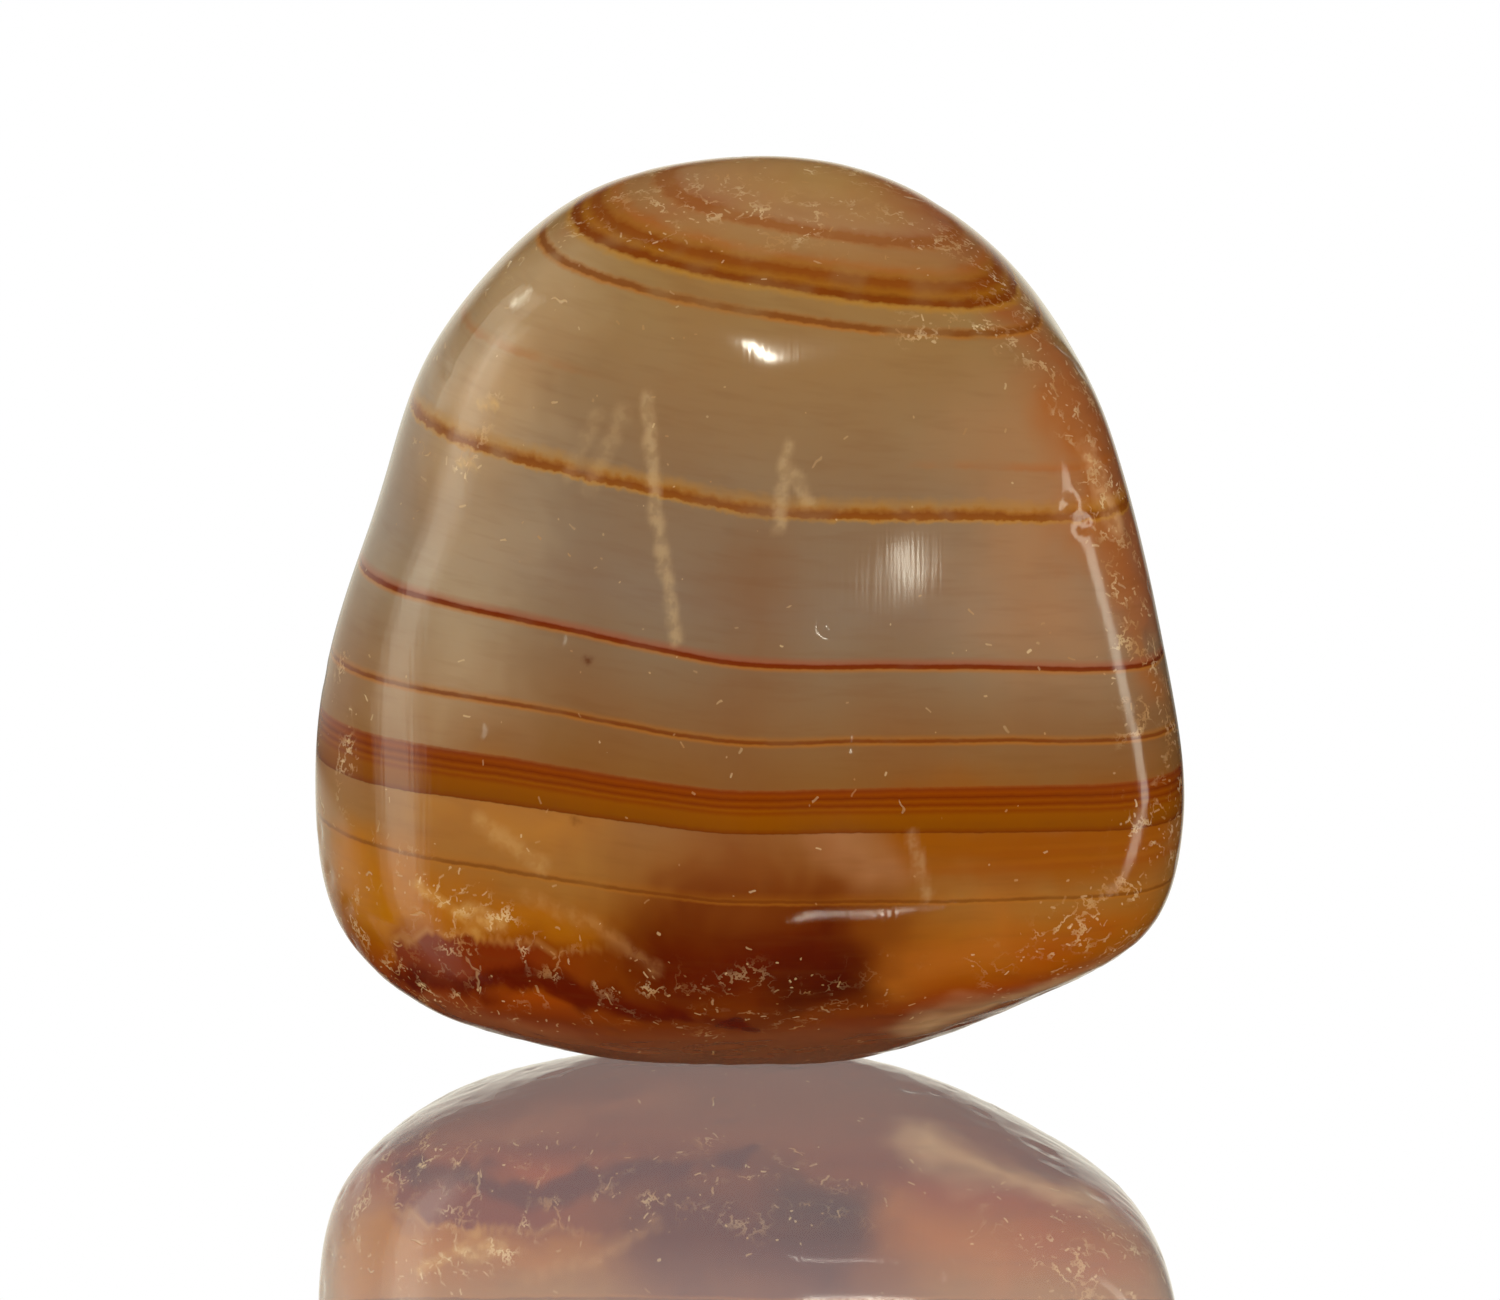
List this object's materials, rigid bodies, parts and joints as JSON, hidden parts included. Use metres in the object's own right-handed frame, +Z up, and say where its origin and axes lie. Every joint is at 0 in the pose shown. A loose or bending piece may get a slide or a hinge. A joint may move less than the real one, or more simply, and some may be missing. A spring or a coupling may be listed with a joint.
{
  "type": "tumbled sardonyx stone",
  "caption": "Smooth tumble-polished banded chalcedony stone with a domed crown, a creased broad front and a bevelled foot, standing upright on a small worn flat.",
  "frame": {"origin": "on the ground, under the middle of the stone's box", "axes": "+Z up towards the domed crown, -Y towards the broad banded front, +X to the right as seen from the front"},
  "size_m": [0.0284, 0.0196, 0.0298],
  "materials": {
    "banded_chalcedony": "tumble-polished, slightly translucent tan chalcedony with tilted orange-brown bands, fine scratches and small pits along the worn edges"
  },
  "bodies": {
    "root": {"stone": "banded_chalcedony"}
  },
  "joints": []
}
